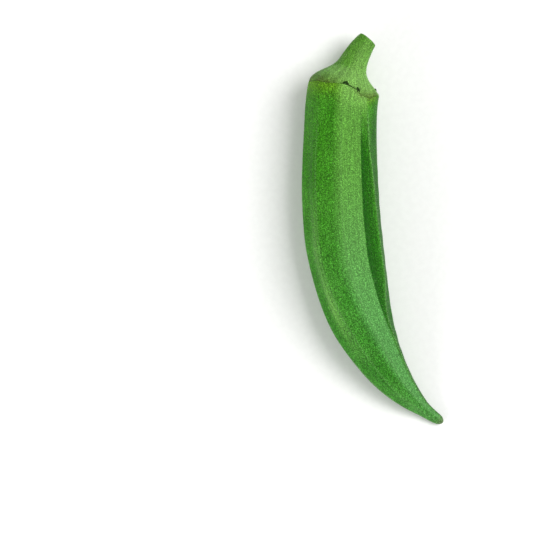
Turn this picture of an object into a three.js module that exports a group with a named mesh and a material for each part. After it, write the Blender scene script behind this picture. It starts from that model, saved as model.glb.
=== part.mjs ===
// One okra pod, lying on its side: the ribbed pod, and the cut stalk with its flared cap.
//
// Units are millimetres and +Z is up. The pod rests on z = 0 and curves in the horizontal
// plane. +X points along it from the tip to the stalk, the tip bends towards -Y, and the
// origin is under the middle of its box.
import * as THREE from "three";

// Lengths along the axis, from the scar ring where the cap meets the pod.
const POD_LENGTH = 99.4;
const STALK_LENGTH = 15.2;

// The pod's crest radius: a shoulder at the scar, the fattest part, then a long taper.
const BELLY_RADIUS = 10.62;
const SHOULDER_SHARE = 0.93;
const BELLY_STARTS = 0.295;
const TAPER_STARTS = 0.396;
const TAPER_SHARE = 0.99;
const TAPER_POWER = 1.9;

// The taper ends in a blunt beak: this much is added to the radius along this last length.
const BEAK_RADIUS = 0.88;
const BEAK_LENGTH = 7.3;
const TIP_ROUNDING = 1.4;

// The stalk widens slowly towards the pod and then flares into the cap.
const CUT_RADIUS = 2.64;
const STALK_FOOT_RADIUS = 5;
const FLARE_LENGTH = 4;
const FLARE_POWER = 2.2;

// The axis: the angle it makes with -X, in degrees, turning towards -Y.
const NECK_HEADING = -12.5;
const BEND = 61.9;
const BEND_POWER = 2.31;
const STALK_LEAN = 27.3;
const LEAN_STARTS = 8.6;
const LEAN_ENDS = -12.1;
const CUT_TURN = 11;
const CUT_TURN_LENGTH = 4.4;
const AXIS_STEP = 0.25;

// The stalk end droops, so the scar ring leans back by this angle, in degrees.
const DROOP = 8;
const DROOP_FADE = 14.4;

// Where the scar ring's centre lies, which puts the middle of the box over the origin.
const SCAR_X = 39.98;
const SCAR_Y = -3.98;

// The eight ridges, as angles round the axis in degrees, from straight up towards -Y.
// They shift from the neck to the belly. Past it the fifth and sixth run together, and all
// of them twist on towards the tip.
const RIDGES_AT_NECK = [-133, -88, -41, -1, 30, 42, 112, 180];
const RIDGES_AT_BELLY = [-133, -88, -43, -2, 30.5, 62, 114, 180];
const RIDGES_AT_TIP = [-133, -88, -45, -4, 26, 34, 98, 180];
const SHIFT_LENGTH = 44.4;
const JOIN_STARTS = 49.4;
const JOIN_ENDS = 66.4;
const TWIST = 22;
const TWIST_STARTS = 0.447;
const TWIST_ENDS = 0.778;

// How round each ridge is, in degrees, and how far the flute after it is hollowed where it
// is as wide as FULL_FLUTE degrees. Narrower flutes are shallower, and one face bulges.
const RIDGE_ROUNDNESS = [4, 4, 8, 10, 2.5, 2.5, 4, 4];
const FLUTE_HOLLOW = [0.04, 0.03, 0.025, 0.02, 0.1, -0.04, 0.035, 0.035];
const FULL_FLUTE = 45;

// How much of the ridges' relief shows at the scar, in the pod's middle and at the tip.
const NECK_RELIEF = 0.28;
const RELIEF_GROWS = 21.4;
const TIP_RELIEF = 0.6;
const RELIEF_FADES = 0.86;
const CAP_RELIEF_LENGTH = 6;

// The scar line isn't level: it dips towards the tip between the fifth and sixth ridges,
// and it sags a little beside the third one.
const SCAR_DIP = 2.3;
const SCAR_DIP_ANGLE = 37;
const SCAR_DIP_WIDTH = 26;
const SCAR_SAG = 0.65;
const SCAR_SAG_ANGLE = -30;
const SCAR_SAG_WIDTH = 24;
const POD_DIP_FADE = 9;
const CAP_DIP_FADE = 5;

// The gap between cap and pod, the small bevel that each has beside it, and the cut's bevel.
const SCAR_GAP = 0.3;
const SCAR_BEVEL = 0.35;
const CUT_BEVEL = 0.15;

// The pod rests on three flat spots of its lowest ridge, and clears the surface between.
const REST_SPOTS = [11.4, 37.4, 83.4];
const REST_HALF_LENGTH = 6;
const PRESS = 0.4;
const REST_CLEARANCE = 0.25;

// Where the sections lie and how each flute is divided.
const FLUTE_STEPS = [0, 0.08, 0.22, 0.4, 0.6, 0.78, 0.92];
const POD_SECTIONS = 44;
const TIP_SECTIONS = 5;
const CAP_SECTIONS = 13;
const CAP_CROWDING = 1.5;

const radians = THREE.MathUtils.degToRad;
const mix = THREE.MathUtils.lerp;
const ease = (x) => THREE.MathUtils.smoothstep(x, 0, 1);

// The axis turns evenly faster towards the tip, and the stalk leans the same way.
function heading(s) {
  const bend = BEND * Math.max(0, s / POD_LENGTH) ** BEND_POWER;
  const lean = STALK_LEAN * ease((LEAN_STARTS - s) / (LEAN_STARTS - LEAN_ENDS));
  const cut = CUT_TURN * ease((CUT_TURN_LENGTH - STALK_LENGTH - s) / CUT_TURN_LENGTH);
  return radians(NECK_HEADING + bend - lean - cut);
}

function twist(s) {
  return TWIST * ease((s / POD_LENGTH - TWIST_STARTS) / (TWIST_ENDS - TWIST_STARTS));
}

function droop(s) {
  return radians(DROOP * ease((DROOP_FADE - s) / DROOP_FADE));
}

function podRadius(s) {
  const share = s / POD_LENGTH;
  const shoulder = mix(SHOULDER_SHARE, 1, ease(share / BELLY_STARTS));
  const tapered = Math.max(0, (share - TAPER_STARTS) / (1 - TAPER_STARTS));
  const beak = BEAK_RADIUS * ease(1 - (POD_LENGTH - s) / BEAK_LENGTH);
  return BELLY_RADIUS * shoulder * (1 - TAPER_SHARE * tapered ** TAPER_POWER) + beak;
}

function capRadius(s) {
  const share = -s / STALK_LENGTH;
  const stalk = mix(STALK_FOOT_RADIUS, CUT_RADIUS, share);
  const flare = podRadius(0) - STALK_FOOT_RADIUS;
  return stalk + flare * Math.exp(-((-s / FLARE_LENGTH) ** FLARE_POWER));
}

// The axis is walked in short steps from the scar ring. The pod's axis is as high as its
// lowest ridge reaches down, less the depth that the resting spots are pressed flat.
function axisPoint(s) {
  const steps = Math.max(1, Math.ceil(Math.abs(s) / AXIS_STEP));
  const step = s / steps;
  const point = new THREE.Vector3(SCAR_X, SCAR_Y, 0);
  for (let i = 0; i < steps; i += 1) {
    const turn = heading((i + 0.5) * step);
    point.x -= Math.cos(turn) * step;
    point.y -= Math.sin(turn) * step;
  }
  const along = Math.max(0, s);
  point.z = podRadius(along) * Math.cos(radians(twist(along))) - PRESS;
  point.z += Math.min(0, s) * Math.sin(radians(DROOP));
  return point;
}

function ridgeAngle(index, s) {
  const turns = Math.floor(index / RIDGES_AT_NECK.length);
  const i = index - turns * RIDGES_AT_NECK.length;
  const shifted = mix(RIDGES_AT_NECK[i], RIDGES_AT_BELLY[i], ease(s / SHIFT_LENGTH));
  const joined = ease((s - JOIN_STARTS) / (JOIN_ENDS - JOIN_STARTS));
  const joining = (RIDGES_AT_TIP[i] - RIDGES_AT_BELLY[i]) * joined;
  return shifted + joining + twist(s) + 360 * turns;
}

function relief(s) {
  if (s < 0) {
    return NECK_RELIEF * ease(1 + s / CAP_RELIEF_LENGTH);
  }
  const grown = mix(NECK_RELIEF, 1, ease(s / RELIEF_GROWS));
  const faded = ease((s / POD_LENGTH - RELIEF_FADES) / (1 - RELIEF_FADES));
  return grown * mix(1, TIP_RELIEF, faded);
}

// The distance from the axis to a flat face between two ridges, at an angle from one ridge.
function flatFace(angle, gap) {
  return Math.cos(radians(gap / 2)) / Math.cos(radians(gap / 2 - angle));
}

// The section's outline as a share of the crest radius: flat faces between the ridges, the
// corners rounded into crests, and the faces hollowed into flutes.
function outline(flute, share, gap, s) {
  const next = (flute + 1) % RIDGE_ROUNDNESS.length;
  const roundness = mix(RIDGE_ROUNDNESS[flute], RIDGE_ROUNDNESS[next], share);
  const fromCrest = Math.min(share, 1 - share) * gap;
  const rounded = Math.hypot(fromCrest, roundness);
  const face = flatFace(rounded, gap) / flatFace(roundness, gap);
  const depth = FLUTE_HOLLOW[flute] * Math.min(1, gap / FULL_FLUTE);
  const hollow = depth * Math.sin(Math.PI * share) ** 2;
  return 1 - relief(s) * (1 - face + hollow);
}

function bell(x) {
  return Math.exp(-(x ** 2));
}

function scarDip(angle, s) {
  const dip = SCAR_DIP * bell((angle - SCAR_DIP_ANGLE) / SCAR_DIP_WIDTH);
  const sag = SCAR_SAG * bell((angle - SCAR_SAG_ANGLE) / SCAR_SAG_WIDTH);
  const fade = s < 0 ? ease(1 + s / CAP_DIP_FADE) : ease(1 - s / POD_DIP_FADE);
  return fade * (dip + sag);
}

// Between the resting spots the lower half is drawn up a little, and nothing goes below
// the surface that the pod lies on.
function settle(z, axisHeight, s) {
  const nearest = Math.min(...REST_SPOTS.map((spot) => Math.abs(s - spot)));
  const lift = (PRESS + REST_CLEARANCE) * ease(nearest / REST_HALF_LENGTH);
  const depth = Math.max(0, 1 - z / axisHeight);
  return Math.max(0, z + lift * depth);
}

// One closed ring of points round the axis at s.
function ring(s, radius) {
  const centre = axisPoint(s);
  const turn = heading(s);
  const lean = droop(s);
  const forward = new THREE.Vector3(-Math.cos(turn), -Math.sin(turn), 0);
  const side = new THREE.Vector3(Math.sin(turn), -Math.cos(turn), 0);
  const up = new THREE.Vector3(0, 0, Math.cos(lean)).addScaledVector(forward, -Math.sin(lean));
  const points = [];
  for (let flute = 0; flute < RIDGES_AT_NECK.length; flute += 1) {
    const start = ridgeAngle(flute, s);
    const gap = ridgeAngle(flute + 1, s) - start;
    for (const share of FLUTE_STEPS) {
      const degrees = start + share * gap;
      const angle = radians(degrees);
      const reach = radius * outline(flute, share, gap, s);
      const point = centre.clone();
      point.addScaledVector(up, reach * Math.cos(angle));
      point.addScaledVector(side, reach * Math.sin(angle));
      point.addScaledVector(forward, scarDip(degrees, s));
      point.z = settle(point.z, centre.z, s);
      points.push(point);
    }
  }
  return points;
}

// Rings from the stalk's side to the tip's side become one closed skin, with a fan of
// triangles to a middle point at each end.
function skin(rings, firstMiddle, lastMiddle) {
  const count = rings[0].length;
  const points = [firstMiddle, ...rings.flat(), lastMiddle];
  const faces = [];
  const at = (row, column) => 1 + row * count + (column % count);
  for (let column = 0; column < count; column += 1) {
    faces.push(0, at(0, column), at(0, column + 1));
    for (let row = 0; row < rings.length - 1; row += 1) {
      faces.push(at(row, column), at(row + 1, column), at(row, column + 1));
      faces.push(at(row, column + 1), at(row + 1, column), at(row + 1, column + 1));
    }
    const last = rings.length - 1;
    faces.push(points.length - 1, at(last, column + 1), at(last, column));
  }
  const geometry = new THREE.BufferGeometry().setFromPoints(points);
  geometry.setIndex(faces);
  geometry.computeVertexNormals();
  return geometry;
}

function makePod() {
  const rings = [];
  const start = SCAR_GAP / 2;
  rings.push(ring(start, podRadius(start) - SCAR_BEVEL));
  const round = POD_LENGTH - TIP_ROUNDING;
  for (let i = 0; i <= POD_SECTIONS; i += 1) {
    const s = mix(start + SCAR_BEVEL, round, i / POD_SECTIONS);
    rings.push(ring(s, podRadius(s)));
  }
  for (let i = 1; i < TIP_SECTIONS; i += 1) {
    const angle = (Math.PI / 2) * (i / TIP_SECTIONS);
    const s = round + TIP_ROUNDING * Math.sin(angle);
    rings.push(ring(s, podRadius(s) * Math.cos(angle)));
  }
  const material = new THREE.MeshStandardMaterial({
    color: 0x4f9236,
    roughness: 0.45,
    metalness: 0,
  });
  const mesh = new THREE.Mesh(skin(rings, axisPoint(start), axisPoint(POD_LENGTH)), material);
  mesh.name = "pod";
  return mesh;
}

function makeStemCap() {
  const rings = [ring(-STALK_LENGTH, CUT_RADIUS - CUT_BEVEL)];
  const start = -STALK_LENGTH + CUT_BEVEL;
  const end = -SCAR_GAP / 2 - SCAR_BEVEL;
  for (let i = 0; i <= CAP_SECTIONS; i += 1) {
    const s = mix(end, start, (1 - i / CAP_SECTIONS) ** CAP_CROWDING);
    rings.push(ring(s, capRadius(s)));
  }
  const foot = -SCAR_GAP / 2;
  rings.push(ring(foot, capRadius(foot) - SCAR_BEVEL));
  const material = new THREE.MeshStandardMaterial({
    color: 0x6ba548,
    roughness: 0.55,
    metalness: 0,
  });
  const mesh = new THREE.Mesh(skin(rings, axisPoint(-STALK_LENGTH), axisPoint(foot)), material);
  mesh.name = "stem_cap";
  return mesh;
}

const okra = new THREE.Group();
okra.name = "okra_pod";
okra.add(makePod(), makeStemCap());

export default okra;
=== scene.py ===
# %% [markdown]
# # One okra pod
#
# An okra pod is a long seed capsule. Eight ridges run from the scar ring under its cap to
# the tip, with shallow flutes between them, and the whole pod bends like a horn. Above the
# scar the old flower base flares down from the cut stalk like a small cap.
#
# This lesson builds both as surfaces worked out with numpy, and finishes them with
# procedural materials. The solids that are loaded first fix every size and place.

# %% Load the solids
import math

import bpy
import numpy as np
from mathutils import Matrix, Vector


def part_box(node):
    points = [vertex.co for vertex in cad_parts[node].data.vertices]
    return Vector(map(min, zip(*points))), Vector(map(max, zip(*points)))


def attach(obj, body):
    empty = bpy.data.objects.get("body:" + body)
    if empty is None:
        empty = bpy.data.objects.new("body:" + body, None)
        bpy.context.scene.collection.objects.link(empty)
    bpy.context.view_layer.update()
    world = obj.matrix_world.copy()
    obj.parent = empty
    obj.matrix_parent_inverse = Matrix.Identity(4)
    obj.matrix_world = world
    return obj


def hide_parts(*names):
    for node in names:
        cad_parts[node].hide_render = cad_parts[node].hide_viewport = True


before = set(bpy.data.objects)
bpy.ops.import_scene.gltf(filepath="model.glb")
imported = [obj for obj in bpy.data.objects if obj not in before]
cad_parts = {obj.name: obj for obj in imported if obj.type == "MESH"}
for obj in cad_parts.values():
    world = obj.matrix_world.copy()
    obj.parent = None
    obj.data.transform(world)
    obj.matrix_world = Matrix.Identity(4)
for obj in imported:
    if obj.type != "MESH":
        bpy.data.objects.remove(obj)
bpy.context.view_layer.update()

# %% [markdown]
# ## The sizes
#
# The pod is described along its axis, the curved line up its middle. Station 0 is the scar
# ring, stations grow towards the tip, and the stalk has negative ones. Everything is in
# metres, so sizes known in millimetres are multiplied by MM.

# %% Sizes
MM = 0.001
POD_LENGTH = 99.4 * MM
STALK_LENGTH = 15.2 * MM
BELLY_RADIUS = 10.62 * MM
SHOULDER_SHARE = 0.93
BELLY_STARTS = 0.295
TAPER_STARTS = 0.396
TAPER_SHARE = 0.99
TAPER_POWER = 1.9
BEAK_RADIUS = 0.88 * MM
BEAK_LENGTH = 7.3 * MM
TIP_ROUNDING = 1.4 * MM
CUT_RADIUS = 2.64 * MM
STALK_FOOT_RADIUS = 5.0 * MM
FLARE_LENGTH = 4.0 * MM
FLARE_POWER = 2.2
NECK_HEADING = -12.5
BEND = 61.9
BEND_POWER = 2.31
STALK_LEAN = 27.3
LEAN_STARTS = 8.6 * MM
LEAN_ENDS = -12.1 * MM
CUT_TURN = 11.0
CUT_TURN_LENGTH = 4.4 * MM
TWIST = 22.0
TWIST_STARTS = 0.447
TWIST_ENDS = 0.778
DROOP = 8.0
DROOP_FADE = 14.4 * MM
SCAR_X = 39.98 * MM
SCAR_Y = -3.98 * MM
PRESS = 0.4 * MM
REST_CLEARANCE = 0.25 * MM
REST_SPOTS = np.array([11.4, 37.4, 83.4]) * MM
REST_HALF_LENGTH = 6.0 * MM
pod_low, pod_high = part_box("pod")
print(f"pod solid is {(pod_high - pod_low).length / MM:.1f} mm corner to corner")

# %% [markdown]
# ## Soft steps
#
# On a plant nothing starts or stops with an edge. Three small curves do all the starting
# and stopping below: one fades in, one fades out, and one swells in the middle like a bell.

# %% Soft steps
def ease(x):
    """A soft step: 3x^2 - 2x^3 between 0 and 1, level outside."""
    x = np.clip(x, 0.0, 1.0)
    return x * x * (3.0 - 2.0 * x)


def fade_in(x, start, length):
    """0 up to start, 1 from start + length on, and a soft step between."""
    return ease((x - start) / length)


def fade_out(x, end, length):
    """1 up to end - length, 0 from end on, and a soft step between."""
    return ease((end - x) / length)


def bell(x, middle, width):
    """A bell curve: exp(-((x - middle) / width)^2)."""
    return np.exp(-(((x - middle) / width) ** 2))


print("halfway up a soft step:", float(fade_in(0.5, 0.0, 1.0)))

# %% [markdown]
# ## The axis
#
# A horn-like bend is easiest to draw by its heading: the angle that the axis makes with
# the straight line from stalk to tip. The heading grows by a power of the distance from
# the scar, so the neck is nearly straight and the tip hooks. Adding up short steps along
# the heading gives the line itself, and one table of it serves every piece.

# %% The axis
def heading(s):
    """The angle from -X towards -Y: a constant, plus a power of s, less the stalk's lean."""
    bend = BEND * np.maximum(0.0, s / POD_LENGTH) ** BEND_POWER
    lean = STALK_LEAN * ease((LEAN_STARTS - s) / (LEAN_STARTS - LEAN_ENDS))
    cut = CUT_TURN * ease((CUT_TURN_LENGTH - STALK_LENGTH - s) / CUT_TURN_LENGTH)
    return np.radians(NECK_HEADING + bend - lean - cut)


def twist(s):
    """Degrees that the ridges have turned round the axis by station s, towards the tip."""
    return TWIST * ease((s / POD_LENGTH - TWIST_STARTS) / (TWIST_ENDS - TWIST_STARTS))


AXIS_STEP = 0.05 * MM
table_s = np.arange(-STALK_LENGTH - AXIS_STEP, POD_LENGTH + 2 * AXIS_STEP, AXIS_STEP)
middle_heading = heading(table_s[:-1] + AXIS_STEP / 2)
table_x = np.concatenate([[0.0], -np.cumsum(np.cos(middle_heading)) * AXIS_STEP])
table_y = np.concatenate([[0.0], -np.cumsum(np.sin(middle_heading)) * AXIS_STEP])
table_x += SCAR_X - np.interp(0.0, table_s, table_x)
table_y += SCAR_Y - np.interp(0.0, table_s, table_y)
print(f"axis: {len(table_s)} stations, tip at {table_x[-1] / MM:.1f}, {table_y[-1] / MM:.1f} mm")

# %% [markdown]
# ## The radius and the height
#
# The pod swells from its shoulder to the belly and then tapers by a power law. The cap's
# radius is a slim cone plus a bell-shaped flare. The pod lies on its lowest ridge, so its
# axis is as high as that ridge reaches down.

# %% Radius and height
def pod_radius(s):
    """Belly radius x shoulder swell x (1 - share x (distance past belly)^power), plus the beak."""
    share = s / POD_LENGTH
    shoulder = SHOULDER_SHARE + (1.0 - SHOULDER_SHARE) * ease(share / BELLY_STARTS)
    past = np.maximum(0.0, (share - TAPER_STARTS) / (1.0 - TAPER_STARTS))
    beak = BEAK_RADIUS * ease(1.0 - (POD_LENGTH - s) / BEAK_LENGTH)
    return BELLY_RADIUS * shoulder * (1.0 - TAPER_SHARE * past**TAPER_POWER) + beak


def cap_radius(s):
    """A cone from the cut to the stalk's foot, plus a flare that dies out as exp(-(d/l)^p)."""
    up = np.maximum(-s, 0.0)
    stalk = STALK_FOOT_RADIUS + (CUT_RADIUS - STALK_FOOT_RADIUS) * up / STALK_LENGTH
    flare = pod_radius(0.0) - STALK_FOOT_RADIUS
    return stalk + flare * np.exp(-((up / FLARE_LENGTH) ** FLARE_POWER))


def axis_height(s):
    """Crest radius x cosine of the twist, less the press, and falling along the stalk."""
    along = np.maximum(0.0, s)
    resting = pod_radius(along) * np.cos(np.radians(twist(along))) - PRESS
    return resting + np.minimum(0.0, s) * math.sin(math.radians(DROOP))


print(f"crest radius at the scar {pod_radius(0.0) / MM:.2f} mm")

# %% [markdown]
# ## The ribbed section
#
# Cut across, the pod is an eight-sided figure with uneven sides. A ridge place is counted
# round it: 0 is the first ridge, 1 the second and so on, and 8 is the first again. Between
# two ridges the outline is a straight face, its corners are rounded, and its middle is
# hollowed into a flute. The relief is weak under the cap and full at the belly.

# %% The ribbed section
RIDGES = 8
RIDGES_AT_NECK = np.array([-133, -88, -41, -1, 30, 42, 112, 180], float)
RIDGES_AT_BELLY = np.array([-133, -88, -43, -2, 30.5, 62, 114, 180], float)
RIDGES_AT_TIP = np.array([-133, -88, -45, -4, 26, 34, 98, 180], float)
SHIFT_LENGTH = 44.4 * MM
JOIN_STARTS = 49.4 * MM
JOIN_ENDS = 66.4 * MM
RIDGE_ROUNDNESS = np.array([4, 4, 8, 10, 2.5, 2.5, 4, 4])
FLUTE_HOLLOW = np.array([0.04, 0.03, 0.025, 0.02, 0.1, -0.04, 0.035, 0.035])
FULL_FLUTE = 45.0
NECK_RELIEF = 0.28
RELIEF_GROWS = 21.4 * MM
TIP_RELIEF = 0.6
RELIEF_FADES = 0.86
CAP_RELIEF_LENGTH = 6.0 * MM


def ridge_angles(s):
    """Each ridge's angle from straight up: neck value eased to belly and tip values, plus twist."""
    shift = ease(s / SHIFT_LENGTH)[:, None]
    join = ease((s - JOIN_STARTS) / (JOIN_ENDS - JOIN_STARTS))[:, None]
    angles = RIDGES_AT_NECK + (RIDGES_AT_BELLY - RIDGES_AT_NECK) * shift + twist(s)[:, None]
    angles = angles + (RIDGES_AT_TIP - RIDGES_AT_BELLY) * join
    return np.hstack([angles, angles[:, :1] + 360.0])


def relief(s):
    """Share of the full ridge height that stands at station s."""
    pod = NECK_RELIEF + (1.0 - NECK_RELIEF) * ease(s / RELIEF_GROWS)
    pod *= 1.0 + (TIP_RELIEF - 1.0) * ease((s / POD_LENGTH - RELIEF_FADES) / (1 - RELIEF_FADES))
    cap = NECK_RELIEF * ease(1.0 + s / CAP_RELIEF_LENGTH)
    return np.where(s < 0.0, cap, pod)


def flat_face(angle, gap):
    """Distance to a straight face between two ridges: cos(gap/2) / cos(gap/2 - angle)."""
    half = np.radians(gap / 2.0)
    return np.cos(half) / np.cos(half - np.radians(angle))


def section(s, ridge_place):
    """Angles in degrees, and outline as a share of the crest radius, on a grid s x coordinate."""
    flute = np.minimum(ridge_place.astype(int), RIDGES - 1)
    share = (ridge_place - flute)[None, :]
    angles = ridge_angles(s)
    start, end = angles[:, flute], angles[:, flute + 1]
    gap = end - start
    following = (flute + 1) % RIDGES
    roundness = RIDGE_ROUNDNESS[flute] * (1.0 - share) + RIDGE_ROUNDNESS[following] * share
    from_crest = np.minimum(share, 1.0 - share) * gap
    face = flat_face(np.hypot(from_crest, roundness), gap) / flat_face(roundness, gap)
    hollow = FLUTE_HOLLOW[flute] * np.minimum(1.0, gap / FULL_FLUTE) * np.sin(np.pi * share) ** 2
    outline = 1.0 - relief(s)[:, None] * (1.0 - face + hollow)
    return start + share * gap, outline


print("section at the belly:", section(np.array([0.038]), np.linspace(0, 8, 9))[0].round(0))

# %% [markdown]
# ## From sections to places
#
# Each ring of points stands square to the axis. Near the scar the rings lean back, because
# the stalk end droops, and the scar line itself dips beside two ridges. At the end the
# lower half is settled onto the surface: it rests on three flat spots and goes no lower.
# A pattern that runs lengthwise, such as fibres, needs the grid as it would lie on a
# straight rod, so that is worked out here too.

# %% From sections to places
SCAR_DIP = 2.3 * MM
SCAR_DIP_ANGLE = 37.0
SCAR_DIP_WIDTH = 26.0
SCAR_SAG = 0.65 * MM
SCAR_SAG_ANGLE = -30.0
SCAR_SAG_WIDTH = 24.0
POD_DIP_FADE = 9.0 * MM
CAP_DIP_FADE = 5.0 * MM


def scar_dip(degrees, s):
    """How far the scar line has slid towards the tip: two bells round the ring, fading with s."""
    dip = SCAR_DIP * bell(degrees, SCAR_DIP_ANGLE, SCAR_DIP_WIDTH)
    sag = SCAR_SAG * bell(degrees, SCAR_SAG_ANGLE, SCAR_SAG_WIDTH)
    fade = np.where(s < 0.0, ease(1.0 + s / CAP_DIP_FADE), ease(1.0 - s / POD_DIP_FADE))
    return fade * (dip + sag)


def settle(z, s):
    """Draws the lower half up between the resting spots, and lets nothing go below 0."""
    nearest = np.abs(s[:, None] - REST_SPOTS).min(axis=1)
    lift = (PRESS + REST_CLEARANCE) * ease(nearest / REST_HALF_LENGTH)[:, None]
    depth = np.maximum(0.0, 1.0 - z / axis_height(s)[:, None])
    return np.maximum(0.0, z + lift * depth)


def places(s, degrees, reach):
    """Points at axis(s) + reach x (up cos + side sin) + forward x scar dip, on a grid."""
    turn = heading(s)[:, None]
    lean = np.radians(DROOP * ease((DROOP_FADE - s) / DROOP_FADE))[:, None]
    angle = np.radians(degrees)
    rise, across = reach * np.cos(angle), reach * np.sin(angle)
    forward = scar_dip(degrees, s[:, None]) - rise * np.sin(lean)
    x = np.interp(s, table_s, table_x)[:, None] - np.cos(turn) * forward + np.sin(turn) * across
    y = np.interp(s, table_s, table_y)[:, None] - np.sin(turn) * forward - np.cos(turn) * across
    z = axis_height(s)[:, None] + rise * np.cos(lean)
    return np.stack([x, y, settle(z, s)], axis=-1)


def axis_point(s):
    """The point of the axis at station s, where an end of a skin is closed."""
    station = np.array([s])
    point = places(station, np.zeros((1, 1)), np.zeros((1, 1)))[0, 0]
    point[2] = axis_height(station)[0]
    return point


def straightened(radius, share, s):
    """The grid as it would lie on a straight round rod: (r cos, r sin, s)."""
    turn = 2.0 * np.pi * share[None, :] + 0.0 * s[:, None]
    along = s[:, None] + 0.0 * turn
    return np.stack([radius * np.cos(turn), radius * np.sin(turn), along], axis=-1)


print("tip at", (axis_point(POD_LENGTH) / MM).round(1), "mm")

# %% [markdown]
# ## Turning a grid of places into a mesh
#
# A grid of rings is a skin without ends, so each end gets a middle point and a fan of
# triangles. The grid is closed round the axis by joining its last column to its first.
# Numbers that a material needs at every point travel along as attributes of the mesh.

# %% Skin a grid of rings
def add_object(name, data):
    """A new object at the origin, in the scene."""
    thing = bpy.data.objects.new(name, data)
    bpy.context.scene.collection.objects.link(thing)
    return thing


def skin(name, rings, first, last, round_share, along, attributes):
    """Quads between rings (rows x columns x 3), fans to two end points, a UV map, attributes."""
    rows, columns = rings.shape[:2]
    points = np.concatenate([[first], rings.reshape(-1, 3), [last]])
    index = 1 + np.arange(rows * columns).reshape(rows, columns)
    beside = np.roll(index, -1, axis=1)
    quads = np.stack([index[:-1], index[1:], beside[1:], beside[:-1]], axis=-1).reshape(-1, 4)
    top = np.stack([np.zeros(columns, int), index[0], beside[0]], axis=-1)
    end = np.stack([np.full(columns, len(points) - 1), beside[-1], index[-1]], axis=-1)
    mesh = bpy.data.meshes.new(name)
    mesh.from_pydata(points.tolist(), [], quads.tolist() + top.tolist() + end.tolist())
    sides = (round_share, np.append(round_share[1:], 1.0))
    left, right = np.tile(sides[0], rows - 1), np.tile(sides[1], rows - 1)
    upper, lower = np.repeat(along[:-1], columns), np.repeat(along[1:], columns)
    body = np.stack([left, upper, left, lower, right, lower, right, upper], axis=-1)
    ends = []
    for row, second, third in ((0, 0, 1), (-1, 1, 0)):
        fan = np.stack([round_share, np.full(columns, along[row])] * 3, axis=-1)
        fan[:, 2], fan[:, 4] = sides[second], sides[third]
        ends.append(fan.ravel())
    layer = mesh.uv_layers.new(name="round_and_along")
    layer.data.foreach_set("uv", np.concatenate([body.ravel(), *ends]))
    for label, values in attributes.items():
        kind, field = ("FLOAT_VECTOR", "vector") if values.ndim == 3 else ("FLOAT", "value")
        flat = values.reshape(rows * columns, -1)
        padded = np.concatenate([flat[:1], flat, flat[-1:]])
        mesh.attributes.new(label, kind, "POINT").data.foreach_set(field, padded.ravel())
    mesh.polygons.foreach_set("use_smooth", np.ones(len(mesh.polygons), bool))
    mesh.update()
    triangles = sum(len(p.vertices) - 2 for p in mesh.polygons)
    print(f"{name}: {len(points)} points, {triangles} triangles")
    return add_object(name, mesh)


# %% [markdown]
# ## Natural unevenness
#
# Nothing that grew is even. A few sine waves with random turns and phases, added up, give
# a soft field that closes on itself round the pod. The random numbers are seeded, so the
# pod comes out the same each time.

# %% Soft random fields
def soft_field(seed, round_share, along, turns, waves_along, count=14):
    """Sum of sines of (whole turns x round share + waves x along), scaled to about -1 to 1."""
    random = np.random.default_rng(seed)
    field = np.zeros((len(along), len(round_share)))
    for _ in range(count):
        turn = random.integers(-turns, turns + 1)
        wave = random.uniform(-waves_along, waves_along)
        phase = random.uniform(0.0, 2.0 * np.pi)
        field += np.sin(2.0 * np.pi * (turn * round_share[None, :] + wave * along[:, None]) + phase)
    return field / math.sqrt(count / 2.0) / 2.0


def rows_between(start, stop, count, crowd_start=0.0):
    """Stations from start to stop; crowd_start above 0 packs them closer at the start."""
    share = np.linspace(0.0, 1.0, count)
    return start + (stop - start) * share ** (1.0 + crowd_start)


unit = np.linspace(0.0, 1.0, 50)
sample = soft_field(1, unit, unit, turns=3, waves_along=3.0)
print(f"a sample field runs from {sample.min():.2f} to {sample.max():.2f}")

# %% [markdown]
# ## The pod's grid
#
# The skin follows the same formula as its solid, with about thirty times as many faces.
# The columns crowd towards the ridges, where the skin bends most. The rows start with the
# rounded edge at the scar and end round the blunt tip.

# %% The pod's grid
PER_FLUTE = 34
POD_ROWS = 320
NECK_ROWS = 8
TIP_ROWS = 12
SCAR_GAP = 0.04 * MM
SCAR_ROUNDING = 0.18 * MM
CROWDING = 0.5

step = np.arange(PER_FLUTE) / PER_FLUTE
crowded = (1.0 - CROWDING) * step + CROWDING * (0.5 - 0.5 * np.cos(np.pi * step))
ridge_place = (np.arange(RIDGES)[:, None] + crowded).ravel()
round_share = ridge_place / RIDGES


def pod_profile():
    """Stations and radii: round the shoulder's edge, along the pod, and round the blunt tip."""
    turn = np.linspace(0.0, np.pi / 2.0, NECK_ROWS)
    edge_s = SCAR_GAP / 2.0 + SCAR_ROUNDING * (1.0 - np.cos(turn))
    edge_radius = pod_radius(edge_s) - SCAR_ROUNDING * (1.0 - np.sin(turn))
    body_s = rows_between(edge_s[-1], POD_LENGTH - TIP_ROUNDING, POD_ROWS)[1:]
    turn = np.linspace(0.0, np.pi / 2.0, TIP_ROWS + 1)[1:-1]
    tip_s = POD_LENGTH - TIP_ROUNDING * (1.0 - np.sin(turn))
    s = np.concatenate([edge_s, body_s, tip_s])
    radius = np.concatenate([edge_radius, pod_radius(body_s), pod_radius(tip_s) * np.cos(turn)])
    return s, radius


pod_s, pod_r = pod_profile()
print(f"pod grid: {len(pod_s)} rows of {len(round_share)} points")

# %% [markdown]
# ## The pod's relief
#
# A hand feels more on a fresh pod than its main form: a thin rib that stands on each
# crest, fine lengthwise lines in the flutes, faint swellings over the seeds, and slow
# waves. All of it is a height in metres that is added to the radius. Real relief, rather
# than a bump in the material, also shows on the outline.

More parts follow.
